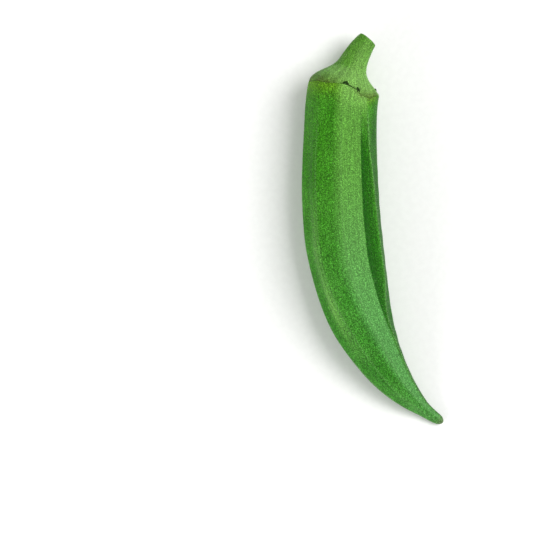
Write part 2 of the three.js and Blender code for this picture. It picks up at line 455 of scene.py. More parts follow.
# %% The pod's relief
RIB_HEIGHT = 0.10 * MM
RIB_WIDTH = 0.32 * MM
RIB_STRENGTH = np.array([0.8, 0.9, 0.35, 0.3, 1.0, 1.0, 0.8, 0.9])
LINE_HEIGHT = 0.022 * MM
SEED_HEIGHT = 0.055 * MM
SEED_SPACING = 6.0 * MM
SEED_PHASE = np.array([0.1, 0.6, 0.35, 0.8, 0.2, 0.5, 0.9, 0.4])
WAVE_HEIGHT = 0.10 * MM


def from_crest(s, coordinate):
    """Metres along the skin to the nearest ridge, and that ridge's number, on a grid."""
    flute = coordinate.astype(int)
    share = (coordinate - flute)[None, :]
    angles = ridge_angles(s)
    gap = angles[:, flute + 1] - angles[:, flute]
    near = np.minimum(share, 1.0 - share) * np.radians(gap) * pod_radius(s)[:, None]
    ridge = np.where(coordinate - flute < 0.5, flute, flute + 1) % RIDGES
    return near, ridge


def pod_relief(s, coordinate):
    """Ribs on the crests, lines along the flutes, swellings over seeds and slow waves, in metres."""
    near, ridge = from_crest(s, coordinate)
    share = coordinate / RIDGES
    along = s / POD_LENGTH
    shown = relief(s)[:, None] * np.clip(pod_radius(s) / BELLY_RADIUS * 1.6, 0.0, 1.0)[:, None]
    broken = 0.75 + 0.5 * soft_field(11, share, along, turns=3, waves_along=9.0)
    rib = RIB_STRENGTH[ridge] * RIB_HEIGHT * broken * bell(near, 0.0, RIB_WIDTH)
    lines = LINE_HEIGHT * soft_field(12, share, along, turns=90, waves_along=2.5, count=40)
    flute = coordinate.astype(int)
    middle = np.sin(np.pi * (coordinate - flute)) ** 2
    beads = np.sin(2.0 * np.pi * (s[:, None] / SEED_SPACING + SEED_PHASE[flute]))
    seeds = SEED_HEIGHT * middle * beads * fade_in(along, start=0.08, length=0.15)[:, None]
    seeds = seeds * (0.6 + 0.4 * soft_field(13, share, along, turns=2, waves_along=4.0))
    waves = WAVE_HEIGHT * soft_field(14, share, along, turns=4, waves_along=5.0)
    return shown * (rib + lines + seeds + waves)


degrees, outline = section(pod_s, ridge_place)
reach = pod_r[:, None] * outline + pod_relief(pod_s, ridge_place)
pod_grid = places(pod_s, degrees, reach)
print(f"reach from {reach.min() / MM:.2f} to {reach.max() / MM:.2f} mm")

# %% [markdown]
# ## Where the pod's colour changes
#
# Colour on a pod follows its shape, so each change is a mask: a number at every point of
# the grid, 0 where the change is absent and about 1 where it is full. The material reads
# them later. Crests are paler. The flute past the fifth ridge and the side past the sixth
# are darkened with painted shade. The flute before the fifth is made paler and bluer with
# painted light, and some of that is left near the neck and the tip. A painted highlight
# runs beside the third ridge. The skin under the scar is young and yellowish, and has a
# bruise.

# %% Masks on the pod
FIFTH_RIDGE, SIXTH_RIDGE, SEVENTH_RIDGE = 4.0, 5.0, 6.0
CREST_WIDTH = 0.3 * MM
CREST_PALENESS = np.array([0.8, 0.9, 0.35, 0.25, 0.2, 1.0, 0.8, 0.9])
LIT_FLUTE_STARTS = 2.55
LIT_FLUTE_SOFTNESS = 0.52
PAINTED_HIGHLIGHT_WIDTH = 1.9 * MM
BRIGHTEST_PAINTED_HIGHLIGHT = 55.0 * MM
RADIANS_TO_NEXT_RIDGE = 0.78
YOUNG_LENGTH = 2.6 * MM
BRUISE_LENGTH = 1.2 * MM

down = pod_s[:, None]
down_share = down / POD_LENGTH
around = (degrees + 180.0) % 360.0 - 180.0
near, ridge = from_crest(pod_s, ridge_place)
crest = CREST_PALENESS[ridge] * bell(near, 0.0, CREST_WIDTH) * fade_in(down, 0.0, 14.0 * MM)

# Painted shade: the flute past the fifth ridge, darkest at that ridge, and the side past the sixth
# are darkened as if shade fell on them.
painted_shade_flute = fade_in(ridge_place, FIFTH_RIDGE - 0.05, 0.07)
painted_shade_flute = painted_shade_flute * fade_out(ridge_place, SIXTH_RIDGE + 0.02, 0.27)
painted_shade_flute = painted_shade_flute * (1.0 - 0.5 * (ridge_place - FIFTH_RIDGE))
painted_shade_length = fade_in(down, 5.0 * MM, 14.0 * MM) * fade_out(down, 74.0 * MM, 12.0 * MM)
edge_softness = 0.06 + 0.8 * fade_out(down, 17.0 * MM, 14.0 * MM)
painted_shade_side = fade_in(ridge_place, SIXTH_RIDGE - 0.03, edge_softness)
painted_shade_side = painted_shade_side * fade_out(ridge_place, SEVENTH_RIDGE, 0.75)
painted_shade = painted_shade_length * painted_shade_flute + 0.7 * painted_shade_side

# Painted light: the flute before the fifth ridge, the neck and part of the tip are made paler and
# bluer, as if lit by the key panel.
lit_flute = fade_out(ridge_place, FIFTH_RIDGE, 0.05)
lit_neck = fade_out(down, 15.0 * MM, 11.0 * MM) * fade_out(ridge_place, SIXTH_RIDGE + 0.2, 0.5)
lit_tip = 0.45 * fade_in(down_share, 0.81, 0.13) * fade_out(ridge_place, SIXTH_RIDGE, 2.0)
painted_light = fade_in(ridge_place, LIT_FLUTE_STARTS, LIT_FLUTE_SOFTNESS) * (lit_flute + lit_neck).clip(0, 1)
painted_light = np.maximum(painted_light, lit_tip)

# Painted highlight: a pale streak beside the third ridge.
painted_highlight_middle = 1.77 - 0.2 * fade_in(down, 57.0 * MM, 25.0 * MM)
beside_painted_highlight = (ridge_place - painted_highlight_middle) * RADIANS_TO_NEXT_RIDGE * pod_radius(down)
painted_highlight = fade_in(down, 26.0 * MM, 12.0 * MM) * fade_out(down, 76.0 * MM, 15.0 * MM)
painted_highlight = painted_highlight * (0.9 + 0.8 * bell(down, BRIGHTEST_PAINTED_HIGHLIGHT, 5.0 * MM))
painted_highlight = painted_highlight * bell(beside_painted_highlight, 0.0, PAINTED_HIGHLIGHT_WIDTH)
painted_highlight = painted_highlight * (0.75 + 0.5 * soft_field(15, round_share, pod_s / POD_LENGTH, 6, 7.0))

young = bell(down, 0.0, YOUNG_LENGTH * (1.0 + painted_light))
bruised = bell(down, 0.0, BRUISE_LENGTH) * bell(around, 38.0, 20.0)
print("share of the skin in shade:", round(float((painted_shade > 0.5).mean()), 3))

# %% [markdown]
# ## The pod's skin as a mesh
#
# The grid becomes a closed skin, and the masks go along as its attributes.

# %% The pod's skin as a mesh
pod_skin = skin(
    "pod_skin",
    pod_grid,
    axis_point(pod_s[0]),
    axis_point(POD_LENGTH),
    round_share,
    down_share[:, 0],
    {
        "crest": crest,
        "straight": straightened(BELLY_RADIUS, round_share, pod_s),
        "station": np.broadcast_to(down_share, reach.shape),
        "painted_shade": painted_shade,
        "painted_light": painted_light,
        "painted_highlight": painted_highlight,
        "young": young,
        "bruised": bruised,
    },
)

# %% [markdown]
# ## The cap and the cut stalk
#
# The cap is the old flower base. It flares from the stalk like a small bell, and its rim
# sits on the pod's shoulder. One profile runs round the rim, up the flare and the stalk,
# round the cut edge and across the cut face to its middle, so the piece is one closed
# skin. The cut face shows a ring of fibres round a slightly sunken pith.

# %% The cap and the cut stalk
CAP_ROWS = 150
CAP_COLUMNS = 192
CUT_EDGE_ROWS = 4
FACE_ROWS = 16
CUT_ROUNDING = 0.12 * MM
PITH_DEPTH = 0.18 * MM
FIBRE_RING = 0.72
FIBRE_RING_HEIGHT = 0.06 * MM
CAP_UNEVENNESS = 0.15 * MM
CAP_LINE_HEIGHT = 0.03 * MM


def cap_profile():
    """Stations and radii: round the rim, up the flare and stalk, round the cut, across the cut."""
    turn = np.linspace(0.0, np.pi / 2.0, NECK_ROWS)
    rim_s = -SCAR_GAP / 2.0 - SCAR_ROUNDING * (1.0 - np.cos(turn))
    rim_radius = cap_radius(rim_s) - SCAR_ROUNDING * 0.7 * (1.0 - np.sin(turn))
    side_s = rows_between(rim_s[-1], -STALK_LENGTH + CUT_ROUNDING, CAP_ROWS, 0.35)[1:]
    turn = np.linspace(0.0, np.pi / 2.0, CUT_EDGE_ROWS + 1)[1:]
    cut_s = -STALK_LENGTH + CUT_ROUNDING * (1.0 - np.sin(turn))
    cut_radius = cap_radius(side_s[-1:]) - CUT_ROUNDING * (1.0 - np.cos(turn))
    share = np.linspace(1.0, 0.0, FACE_ROWS + 1)[1:-1]
    sunk = PITH_DEPTH * fade_out(share, end=0.8, length=0.5)
    sunk -= FIBRE_RING_HEIGHT * bell(share, FIBRE_RING, 0.1)
    s = np.concatenate([rim_s, side_s, cut_s, -STALK_LENGTH + sunk])
    radius = np.concatenate([rim_radius, cap_radius(side_s), cut_radius, cut_radius[-1] * share])
    outside = np.zeros(len(rim_s) + len(side_s))
    cut = np.concatenate([outside, np.full(CUT_EDGE_ROWS, 0.6), np.ones(len(share))])
    return s, radius, cut


cap_s, cap_r, cut_mask = cap_profile()
cap_columns = np.linspace(0.0, RIDGES, CAP_COLUMNS, endpoint=False)
cap_share = cap_columns / RIDGES
degrees, outline = section(cap_s, cap_columns)
bumps = CAP_UNEVENNESS * soft_field(21, cap_share, cap_s / STALK_LENGTH, 5, 2.0)
bumps += CAP_LINE_HEIGHT * soft_field(22, cap_share, cap_s / STALK_LENGTH, 30, 3.0, 30)
bumps *= (fade_in(-cap_s, 0.0, 1.5 * MM) * np.clip(cap_r / (3.0 * MM), 0.0, 1.0))[:, None]
reach = cap_r[:, None] * outline + bumps
cap_grid = places(cap_s, degrees, reach)
print(f"cap grid: {len(cap_s)} rows of {CAP_COLUMNS} points")

# %% [markdown]
# ## Where the cap's colour changes
#
# The rim is stained beside the scar. The cap is painted paler on the side towards the key
# panel: painted light. Up the stalk that lit side becomes narrower and the rest is a deeper
# green. The cut face has colours of its own, from its middle outwards. The cap was built
# from its rim to its cut, so its rows are turned round here, as a skin is joined from the
# far end.

# %% Masks on the cap
up = -cap_s[:, None]
around = (degrees + 180.0) % 360.0 - 180.0
stain = fade_out(around, 5.0, 40.0) + bell(around, 52.0, 26.0)
stain = stain * bell(up, 0.0, 1.5 * MM)
# Painted light: the cap is paler on the side towards the key panel, and narrower up the stalk.
on_stalk = fade_in(up, 3.6 * MM, 2.4 * MM)
wide, narrow = fade_in(around, -70.0, 60.0), fade_in(around, -22.0, 32.0)
cap_painted_light = (wide + (narrow - wide) * on_stalk) * fade_out(around, 112.0, 40.0)
cap_painted_light = cap_painted_light * (0.55 + 0.45 * fade_out(up, 12.0 * MM, 8.0 * MM))
cap_masks = {
    "straight": straightened(5.0 * MM, cap_share, cap_s),
    "cut": np.broadcast_to(cut_mask[:, None], reach.shape),
    "station": np.broadcast_to(up / STALK_LENGTH, reach.shape),
    "from_middle": np.broadcast_to((cap_r / CUT_RADIUS)[:, None], reach.shape),
    "stain": stain,
    "painted_light": cap_painted_light,
}
cap_grid = cap_grid[::-1]
cap_skin = skin(
    "cap_skin",
    cap_grid,
    axis_point(cap_s[-1]),
    axis_point(cap_s[0]),
    cap_share,
    np.linspace(0.0, 1.0, len(cap_s)),
    {label: mask[::-1] for label, mask in cap_masks.items()},
)

# %% [markdown]
# ## Dried scraps at the scar
#
# When the flower's outer leaves fall off, they leave dark dried scraps at the scar. Each
# one here is a thin closed ribbon that follows the ring for a few degrees, at the scar or
# a little up the cap. Its section is an oval that swells and shrinks by a soft field, and
# it narrows to nothing at both ends. That takes far fewer faces than carving the skin.

# %% Dried scraps
RING_SAMPLES = 720
SCRAP_ROWS = 40
SCRAP_COLUMNS = 12
SCRAP_SINKS = 0.1 * MM
SCRAP_WANDERS = 0.12 * MM
# Each scrap: name, station, first and last degree round the ring, half width and height, seed.
SCRAPS = (
    ("scar_thread", -0.1 * MM, -12.0, 27.0, 0.12 * MM, 0.12 * MM, 31),
    ("scar_scrap_upper", -0.25 * MM, -6.5, 6.5, 0.45 * MM, 0.27 * MM, 32),
    ("scar_scrap_lower", -0.5 * MM, 18.0, 25.5, 0.60 * MM, 0.34 * MM, 33),
    ("scar_scrap_side", -2.0 * MM, 72.0, 90.0, 0.28 * MM, 0.18 * MM, 34),
)


def ring_reach(s, degrees):
    """Distance from the axis to the skin at one station and the given degrees, from the section."""
    coordinate = np.linspace(0.0, RIDGES, RING_SAMPLES + 1)[:-1]
    angles, outline = section(np.array([s]), coordinate)
    turned = (angles[0] + 180.0) % 360.0 - 180.0
    order = np.argsort(turned)
    base = cap_radius(s) if s < 0.0 else pod_radius(s)
    return base * np.interp(degrees, turned[order], outline[0][order])


def scrap(name, station, start, stop, half_width, half_height, seed):
    """A ribbon along the scar ring: an oval section x sin(pi t)^0.5, made uneven by a field."""
    t = np.linspace(0.0, 1.0, SCRAP_ROWS + 2)[1:-1]
    share = np.linspace(0.0, 1.0, SCRAP_COLUMNS, endpoint=False)
    uneven = 1.0 + 0.45 * soft_field(seed, share, t, 2, 4.0)
    size = np.sqrt(np.sin(np.pi * t))[:, None] * uneven
    degrees = np.broadcast_to((start + (stop - start) * t)[:, None], size.shape)
    round_way = 2.0 * np.pi * share
    reach = ring_reach(station, degrees) - SCRAP_SINKS + half_height * size * np.cos(round_way)
    middle = places(np.array([station]), degrees.reshape(1, -1), reach.reshape(1, -1))[0]
    middle = middle.reshape(len(t), len(share), 3)
    turn = heading(np.array([station]))[0]
    wander = SCRAP_WANDERS * np.sin(7.0 * t + seed)[:, None]
    slide = wander + half_width * size * np.sin(round_way)
    rings = middle + slide[..., None] * np.array([-math.cos(turn), -math.sin(turn), 0.0])
    first, last = rings[0].mean(axis=0), rings[-1].mean(axis=0)
    # The columns run the other way round, so that the faces look outwards.
    return skin(name, rings[:, ::-1], first, last, share, t, {})


scraps = [scrap(*entry) for entry in SCRAPS]

# %% [markdown]
# ## Where hairs grow
#
# Hairs grow all over, but not evenly. Cells of the grid are drawn at random, and large and
# heavy ones more often, so the hairs stand as close as the weight says.

# %% Where hairs grow
POD_HAIRS = 11000
CAP_HAIRS = 3000
SHARE_OFF_CRESTS = 0.25


def scatter(grid, weight, count, seed):
    """Random places on a grid, more where weight is high, with the outward and downward ways."""
    random = np.random.default_rng(seed)
    down = np.gradient(grid, axis=0)
    round_way = (np.roll(grid, -1, axis=1) - np.roll(grid, 1, axis=1)) / 2.0
    normal = np.cross(down, round_way)
    area = np.linalg.norm(normal, axis=2)
    normal = normal / np.maximum(area, 1e-12)[..., None]
    chance = (area * weight).ravel()
    picked = random.choice(len(chance), count, replace=False, p=chance / chance.sum())
    shake = random.uniform(-0.5, 0.5, (count, 2))
    roots = grid.reshape(-1, 3)[picked]
    roots = roots + shake[:, :1] * down.reshape(-1, 3)[picked]
    roots = roots + shake[:, 1:] * round_way.reshape(-1, 3)[picked]
    along = down.reshape(-1, 3)[picked]
    along = along / np.linalg.norm(along, axis=1, keepdims=True)
    return roots, normal.reshape(-1, 3)[picked], along


pod_rows = slice(4, -6)
on_crest = crest * fade_in(pod_s, 0.0, 3.0 * MM)[:, None]
off_floor = fade_in(pod_grid[..., 2], start=0.8 * MM, length=1.5 * MM)
pod_weight = ((SHARE_OFF_CRESTS + on_crest) * off_floor)[pod_rows]
pod_roots = scatter(pod_grid[pod_rows], pod_weight, POD_HAIRS, 41)
cap_rows = slice(FACE_ROWS + 4, -NECK_ROWS)
even = np.ones(cap_grid[cap_rows].shape[:2])
cap_roots = scatter(cap_grid[cap_rows], even, CAP_HAIRS, 43)
print(f"lowest hair root {pod_roots[0][:, 2].min() / MM:.2f} mm above the floor")

# %% [markdown]
# ## Fine hairs
#
# A fresh pod is velvety: short pale hairs stand on it, thickest along the ridges. They are
# real needles here, three-sided and closed, leaning towards the tip. They are too thin to
# see one by one, but they soften the outline and catch the light along the crests.

# %% Fine hairs
HAIR_LENGTH = 0.32 * MM
HAIR_THICKNESS = 0.03 * MM
ROOT_DEPTH = 0.03 * MM


def hairs(name, roots, out, lean, seed):
    """Closed three-sided needles: three root points round each root, and one tip point."""
    random = np.random.default_rng(seed)
    count = len(roots)
    direction = out + lean * random.uniform(0.2, 0.9, (count, 1))
    direction += random.normal(0.0, 0.25, (count, 3))
    direction /= np.linalg.norm(direction, axis=1, keepdims=True)
    across = np.cross(direction, random.normal(0.0, 1.0, (count, 3)))
    across /= np.linalg.norm(across, axis=1, keepdims=True)
    other = np.cross(direction, across)
    tall = HAIR_LENGTH * random.uniform(0.5, 1.2, (count, 1))
    turns = 2.0 * np.pi * np.arange(3) / 3.0
    turns = turns[None, :, None]
    sides = np.cos(turns) * across[:, None] + np.sin(turns) * other[:, None]
    base = roots[:, None] - ROOT_DEPTH * out[:, None] + 0.5 * HAIR_THICKNESS * sides
    tips = roots + tall * direction
    points = np.concatenate([base, tips[:, None]], axis=1).reshape(-1, 3)
    corner = 4 * np.arange(count)[:, None, None]
    faces = (corner + np.array([[0, 1, 3], [1, 2, 3], [2, 0, 3], [0, 2, 1]])).reshape(-1, 3)
    mesh = bpy.data.meshes.new(name)
    mesh.from_pydata(points.tolist(), [], faces.tolist())
    mesh.update()
    print(f"{name}: {count} hairs, {len(faces)} triangles")
    return add_object(name, mesh)


pod_hairs = hairs("pod_hairs", *pod_roots, 42)
cap_hairs = hairs("cap_hairs", *cap_roots, 44)

# %% [markdown]
# ## Tools for numbers and colours
#
# A material is a net of nodes. These few functions add one node each and plug in what they
# are given, whether that is a number, a colour or another node's output, so that the
# materials below read as short recipes.

# %% Tools for numbers and colours
def plug(tree, socket, value):
    """Links an output to the socket, or sets the socket's own value."""
    if isinstance(value, bpy.types.NodeSocket):
        tree.links.new(value, socket)
    else:
        socket.default_value = value


def maths(tree, operation, first, second=0.0):
    """One number from two, by the operation that is named."""
    node = tree.nodes.new("ShaderNodeMath")
    node.operation = operation
    plug(tree, node.inputs[0], first)
    plug(tree, node.inputs[1], second)
    return node.outputs[0]


def times(tree, first, second):
    """Two numbers multiplied."""
    return maths(tree, "MULTIPLY", first, second)


def plus(tree, first, second):
    """Two numbers added."""
    return maths(tree, "ADD", first, second)


def remap(tree, value, low, high, to_low=0.0, to_high=1.0):
    """Turns low..high into to_low..to_high with soft ends."""
    node = tree.nodes.new("ShaderNodeMapRange")
    node.interpolation_type = "SMOOTHSTEP"
    for index, given in enumerate((value, low, high, to_low, to_high)):
        plug(tree, node.inputs[index], given)
    return node.outputs[0]


def blend(tree, share, first, second):
    """A colour between two, by share."""
    node = tree.nodes.new("ShaderNodeMix")
    node.data_type = "RGBA"
    plug(tree, node.inputs[0], share)
    plug(tree, node.inputs[6], first)
    plug(tree, node.inputs[7], second)
    return node.outputs[2]


def brighten(tree, colour, factor):
    """The colour times a factor."""
    node = tree.nodes.new("ShaderNodeVectorMath")
    node.operation = "SCALE"
    plug(tree, node.inputs[0], colour)
    plug(tree, node.inputs["Scale"], factor)
    return node.outputs[0]


print("each adds one node")

# %% [markdown]
# ## Tools for patterns and groups
#
# A pattern starts from a number that the mesh carries, or from noise. A node group is
# built once and placed in several materials. Bump changes only how light falls, which is
# enough for the finest grain.

# %% Tools for patterns and groups
def attribute(tree, name, output="Fac"):
    """Reads a number or a vector that the mesh carries."""
    node = tree.nodes.new("ShaderNodeAttribute")
    node.attribute_name = name
    return node.outputs[output]


def object_place(tree):
    """The place on the piece, in metres, for a grain that fills space."""
    return tree.nodes.new("ShaderNodeTexCoord").outputs["Object"]


def noise(tree, vector, scale, detail):
    """Soft cloudy noise, 0 to 1, with about scale blobs to a metre."""
    node = tree.nodes.new("ShaderNodeTexNoise")
    plug(tree, node.inputs["Vector"], vector)
    plug(tree, node.inputs["Scale"], scale)
    plug(tree, node.inputs["Detail"], detail)
    return node.outputs["Fac"]


def use_group(tree, group, **inputs):
    """Places a node group and plugs its inputs by name; gives its first output."""
    node = tree.nodes.new("ShaderNodeGroup")
    node.node_tree = group
    for name, value in inputs.items():
        plug(tree, node.inputs[name], value)
    return node.outputs[0]


def new_group(name, **numbers):
    """An empty node group: a Vector and the given numbers in, one number out."""
    group = bpy.data.node_groups.new(name, "ShaderNodeTree")
    add_socket = group.interface.new_socket
    add_socket("Vector", in_out="INPUT", socket_type="NodeSocketVector")
    for label, value in numbers.items():
        socket = add_socket(label, in_out="INPUT", socket_type="NodeSocketFloat")
        socket.default_value = value
    add_socket("Value", in_out="OUTPUT", socket_type="NodeSocketFloat")
    given = group.nodes.new("NodeGroupInput").outputs
    return group, given, group.nodes.new("NodeGroupOutput").inputs[0]


def bump(tree, height, depth):
    """Tilts the surface by a height of 0 to 1 that stands for depth metres."""
    node = tree.nodes.new("ShaderNodeBump")
    node.inputs["Strength"].default_value = 1.0
    node.inputs["Distance"].default_value = depth
    plug(tree, node.inputs["Height"], height)
    return node.outputs[0]


def new_material(name):
    """A material with its node tree and its shader."""
    material = bpy.data.materials.new(name)
    material.use_nodes = True
    return material, material.node_tree, material.node_tree.nodes["Principled BSDF"]


print("tools are ready")

# %% [markdown]
# ## Shared effects
#
# Three patterns serve every part of the plant. Fibre lines run lengthwise under the skin.
# Speckle is the fine grain of hair roots and cells. Patches are slow changes in how green
# the skin is. Each is a node group, so the pod, the cap and the cut use the same ones.

# %% Shared effects
fibre_lines, given, result = new_group("fibre_lines", Scale=1800.0, Stretch=14.0)
stretch = fibre_lines.nodes.new("ShaderNodeCombineXYZ")
stretch.inputs[0].default_value = 1.0
stretch.inputs[1].default_value = 1.0
plug(fibre_lines, stretch.inputs[2], maths(fibre_lines, "DIVIDE", 1.0, given["Stretch"]))
drawn_out = fibre_lines.nodes.new("ShaderNodeVectorMath")
drawn_out.operation = "MULTIPLY"
plug(fibre_lines, drawn_out.inputs[0], given["Vector"])
plug(fibre_lines, drawn_out.inputs[1], stretch.outputs[0])
lines = noise(fibre_lines, drawn_out.outputs[0], given["Scale"], 3.0)
plug(fibre_lines, result, remap(fibre_lines, lines, 0.3, 0.7))

speckle, given, result = new_group("speckle", Scale=4500.0)
fine = noise(speckle, given["Vector"], given["Scale"], 1.0)
dots = speckle.nodes.new("ShaderNodeTexVoronoi")
plug(speckle, dots.inputs["Vector"], given["Vector"])
plug(speckle, dots.inputs["Scale"], times(speckle, given["Scale"], 0.75))
hair_roots = remap(speckle, dots.outputs["Distance"], 0.15, 0.5, 1.0, 0.0)
cells = remap(speckle, fine, 0.32, 0.68)
both = plus(speckle, times(speckle, cells, 0.6), times(speckle, hair_roots, 0.4))
plug(speckle, result, both)

patches, given, result = new_group("patches", Scale=110.0)
cloud = noise(patches, given["Vector"], given["Scale"], 3.0)
plug(patches, result, remap(patches, cloud, 0.35, 0.65))
print("node groups:", [g.name for g in bpy.data.node_groups])

# %% [markdown]
# ## The pod's colours
#
# Okra is green all through, with a waxy skin. Its greens run from yellowish under the
# scar to slightly bluish near the tip, so each main colour is given twice. The masks and
# soft noise blend them, which fits the shape closely and needs no painted picture. They
# are linear red, green, blue and alpha, as the shader takes them.

# %% The pod's colours
DEEP_AT_NECK = (0.042, 0.235, 0.010, 1.0)
DEEP_LOWER = (0.045, 0.240, 0.022, 1.0)
FRESH_AT_NECK = (0.060, 0.280, 0.018, 1.0)
FRESH_LOWER = (0.065, 0.285, 0.034, 1.0)
# The next two greens are painted light, paler and bluer.
PAINTED_LIGHT_AT_NECK = (0.135, 0.38, 0.055, 1.0)
PAINTED_LIGHT_LOWER = (0.125, 0.39, 0.10, 1.0)
# The green of the painted highlight.
PAINTED_HIGHLIGHT_GREEN = (0.135, 0.41, 0.055, 1.0)
# Crests are paler than the flutes.
PALE_CREST = (0.20, 0.40, 0.14, 1.0)
YOUNG_PLAIN = (0.140, 0.345, 0.018, 1.0)
# The young skin's green with painted light on it.
YOUNG_PAINTED_LIGHT = (0.20, 0.45, 0.085, 1.0)
BRUISE = (0.11, 0.16, 0.035, 1.0)
DRY_TIP = (0.17, 0.25, 0.11, 1.0)
# The green of painted shade.
PAINTED_SHADE_GREEN = (0.010, 0.108, 0.003, 1.0)

pod_flesh, tree, shader = new_material("pod_flesh")
place = object_place(tree)
lengthwise = attribute(tree, "straight", "Vector")
cloudy = use_group(tree, patches, Vector=lengthwise)
painted_light_here = attribute(tree, "painted_light")
lower = remap(tree, attribute(tree, "station"), 0.1, 0.75)
deep = blend(tree, lower, DEEP_AT_NECK, DEEP_LOWER)
fresh = blend(tree, lower, FRESH_AT_NECK, FRESH_LOWER)
colour = blend(tree, cloudy, deep, fresh)
# Painted light: a paler, bluer green where the light falls.
painted_light_green = blend(tree, lower, PAINTED_LIGHT_AT_NECK, PAINTED_LIGHT_LOWER)
colour = blend(tree, times(tree, painted_light_here, 0.8), colour, painted_light_green)
# Painted highlight beside the third ridge.
colour = blend(tree, times(tree, attribute(tree, "painted_highlight"), 0.8), colour, PAINTED_HIGHLIGHT_GREEN)
colour = blend(tree, times(tree, attribute(tree, "crest"), 0.5), colour, PALE_CREST)
young_skin = blend(tree, painted_light_here, YOUNG_PLAIN, YOUNG_PAINTED_LIGHT)
colour = blend(tree, times(tree, attribute(tree, "young"), 0.85), colour, young_skin)
colour = blend(tree, times(tree, attribute(tree, "bruised"), cloudy), colour, BRUISE)
dry = remap(tree, attribute(tree, "station"), 0.975, 1.0)
colour = blend(tree, times(tree, dry, 0.8), colour, DRY_TIP)
# Painted shade darkens the flute past the fifth ridge and the side past the sixth.
colour = blend(tree, attribute(tree, "painted_shade"), colour, PAINTED_SHADE_GREEN)
print(f"pod colour: {len(tree.nodes)} nodes so far")

# %% [markdown]
# ## The pod's grain and gloss
#
# The colour is multiplied by fibre lines, fine grain and coarser mottles, so that each
# darkens and lightens whatever green is there. The grain reads the place in space, because
# it is as coarse at the tip as at the neck, while the lines read the straightened grid.
# The skin hardly shines. A thin clear coat stands for the wax, and shines softly where the
# light and the highlight are painted on.

# %% The pod's grain and gloss
lines = use_group(tree, fibre_lines, Vector=lengthwise)
grain = use_group(tree, speckle, Vector=place)
mottles = use_group(tree, speckle, Vector=place, Scale=2400.0)
factor = remap(tree, lines, 0.0, 1.0, 0.90, 1.10)
darkest = remap(tree, painted_light_here, 0.0, 1.0, 0.42, 0.56)
lightest = remap(tree, painted_light_here, 0.0, 1.0, 1.62, 1.42)
factor = times(tree, factor, remap(tree, grain, 0.15, 0.85, darkest, lightest))
factor = times(tree, factor, remap(tree, mottles, 0.15, 0.85, 0.84, 1.24))
plug(tree, shader.inputs["Base Color"], brighten(tree, colour, factor))
plug(tree, shader.inputs["Roughness"], remap(tree, grain, 0.0, 1.0, 0.42, 0.56))
height = plus(tree, times(tree, lines, 0.5), times(tree, grain, 0.5))
plug(tree, shader.inputs["Normal"], bump(tree, height, 0.05 * MM))
waxed = times(tree, times(tree, painted_light_here, lower), 0.12)
waxed = plus(tree, waxed, times(tree, attribute(tree, "painted_highlight"), 0.2))
waxed = times(tree, waxed, remap(tree, grain, 0.2, 0.8, 0.5, 1.3))
plug(tree, shader.inputs["Coat Weight"], waxed)
shader.inputs["Coat Roughness"].default_value = 0.38
shader.inputs["Specular IOR Level"].default_value = 0.035
pod_skin.data.materials.append(pod_flesh)
print(f"{pod_flesh.name}: {len(tree.nodes)} nodes")

# %% [markdown]
# ## The cap's material
#
# The cap and stalk are tougher and paler than the pod, with long fibres. Up the stalk the
# green is deeper, and next to the scar the rim is stained olive and brown. The cut face is
# dry: a pale pith in the middle, a ring of green fibres round it, and a dark edge where the
# skin was cut.

# %% The cap's material
CAP_DEEP = (0.130, 0.360, 0.050, 1.0)
CAP_FRESH = (0.175, 0.420, 0.085, 1.0)
# The green of painted light on the cap.
CAP_PAINTED_LIGHT = (0.215, 0.47, 0.095, 1.0)
STALK_DEEP = (0.092, 0.300, 0.024, 1.0)
STALK_FRESH = (0.125, 0.350, 0.042, 1.0)
STALK_END = (0.105, 0.29, 0.038, 1.0)
SCAR_STAIN = (0.095, 0.17, 0.022, 1.0)
PITH = (0.50, 0.55, 0.26, 1.0)
CUT_FIBRES = (0.16, 0.33, 0.07, 1.0)
CUT_EDGE = (0.06, 0.08, 0.02, 1.0)

cap_flesh, tree, shader = new_material("cap_flesh")
place = object_place(tree)
lengthwise = attribute(tree, "straight", "Vector")
lines = use_group(tree, fibre_lines, Vector=lengthwise, Scale=2200.0, Stretch=9.0)
grain = use_group(tree, speckle, Vector=place)
cloudy = use_group(tree, patches, Vector=place, Scale=320.0)
up_the_stalk = attribute(tree, "station")
stalk_mask = remap(tree, up_the_stalk, 0.24, 0.40)
deep = blend(tree, stalk_mask, CAP_DEEP, STALK_DEEP)
fresh = blend(tree, stalk_mask, CAP_FRESH, STALK_FRESH)
colour = blend(tree, cloudy, deep, fresh)
# Painted light on the cap's lit side.
colour = blend(tree, times(tree, attribute(tree, "painted_light"), 0.85), colour, CAP_PAINTED_LIGHT)
near_cut = times(tree, remap(tree, up_the_stalk, 0.62, 0.92), 0.4)
colour = blend(tree, near_cut, colour, STALK_END)
stained = times(tree, attribute(tree, "stain"), remap(tree, cloudy, -0.6, 0.6))
colour = blend(tree, stained, colour, SCAR_STAIN)
factor = remap(tree, lines, 0.0, 1.0, 0.80, 1.14)
factor = times(tree, factor, remap(tree, grain, 0.15, 0.85, 0.5, 1.5))
side_colour = brighten(tree, colour, factor)

